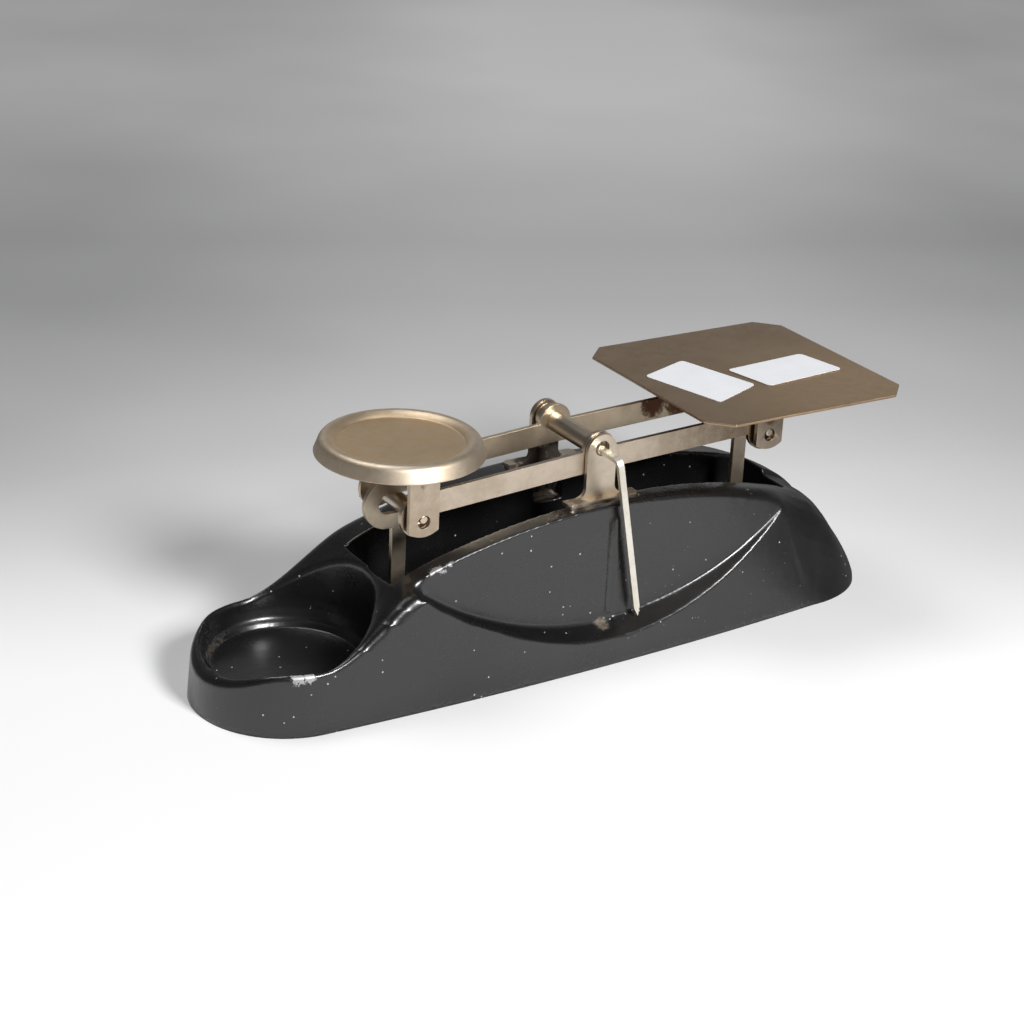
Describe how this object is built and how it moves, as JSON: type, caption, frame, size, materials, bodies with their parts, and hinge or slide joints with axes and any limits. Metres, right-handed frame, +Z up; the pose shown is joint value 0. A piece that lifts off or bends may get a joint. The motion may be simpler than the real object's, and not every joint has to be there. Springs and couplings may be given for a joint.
{
  "type": "balance scale",
  "caption": "Equal-arm letter balance: a black cast base carries a rocking beam with a round weights pan and a flat letter plate.",
  "frame": {"origin": "underside of the base, straight below the fulcrum", "axes": "+X along the beam towards the letter plate, +Y to the back, away from the pointer, +Z up"},
  "size_m": [0.245, 0.0776, 0.0792],
  "materials": {
    "black_paint": "worn satin black paint",
    "nickel": "tarnished nickel plate",
    "pan_metal": "tarnished nickel plate",
    "plate_metal": "dull tarnished nickel plate",
    "steel": "plain dull steel"
  },
  "bodies": {
    "base": {"base_casting": "black_paint", "fulcrum_bracket_front": "nickel", "fulcrum_bracket_rear": "nickel", "bracket_screws": "steel", "stay_screw": "steel", "stay_spacers": "steel"},
    "beam": {"beam_bar_front": "nickel", "beam_bar_rear": "nickel", "fulcrum_rod": "nickel", "fulcrum_collar": "nickel", "end_rod_left": "nickel", "end_rod_right": "nickel", "pointer": "nickel"},
    "left_carrier": {"left_yoke": "nickel", "left_hanger": "nickel", "left_stem_rivet": "steel", "left_lower_pin": "steel", "weights_pan": "pan_metal"},
    "right_carrier": {"right_yoke": "nickel", "right_hanger": "nickel", "right_stem_rivet": "steel", "right_lower_pin": "steel", "goods_plate": "plate_metal"},
    "link": {"check_link": "steel"}
  },
  "joints": [
    {"name": "beam_swing", "type": "hinge", "parent": "base", "child": "beam", "pos_m": [0, 0, 0.0676], "axis": [0, 1, 0], "range_deg": [-3, 9]},
    {"name": "left_hang", "type": "hinge", "parent": "beam", "child": "left_carrier", "pos_m": [-0.0635, 0, 0.05646], "axis": [0, 1, 0], "range_deg": [-9, 3]},
    {"name": "right_hang", "type": "hinge", "parent": "beam", "child": "right_carrier", "pos_m": [0.06432, 0, 0.06316], "axis": [0, 1, 0], "range_deg": [-9, 3]},
    {"name": "stay_swing", "type": "hinge", "parent": "base", "child": "link", "pos_m": [0, 0, 0.0226], "axis": [0, 1, 0], "range_deg": [-3, 9]}
  ],
  "couplings": [
    {"joint": "left_hang", "follows": "beam_swing", "ratio": -1},
    {"joint": "right_hang", "follows": "beam_swing", "ratio": -1},
    {"joint": "stay_swing", "follows": "beam_swing", "ratio": 1}
  ]
}
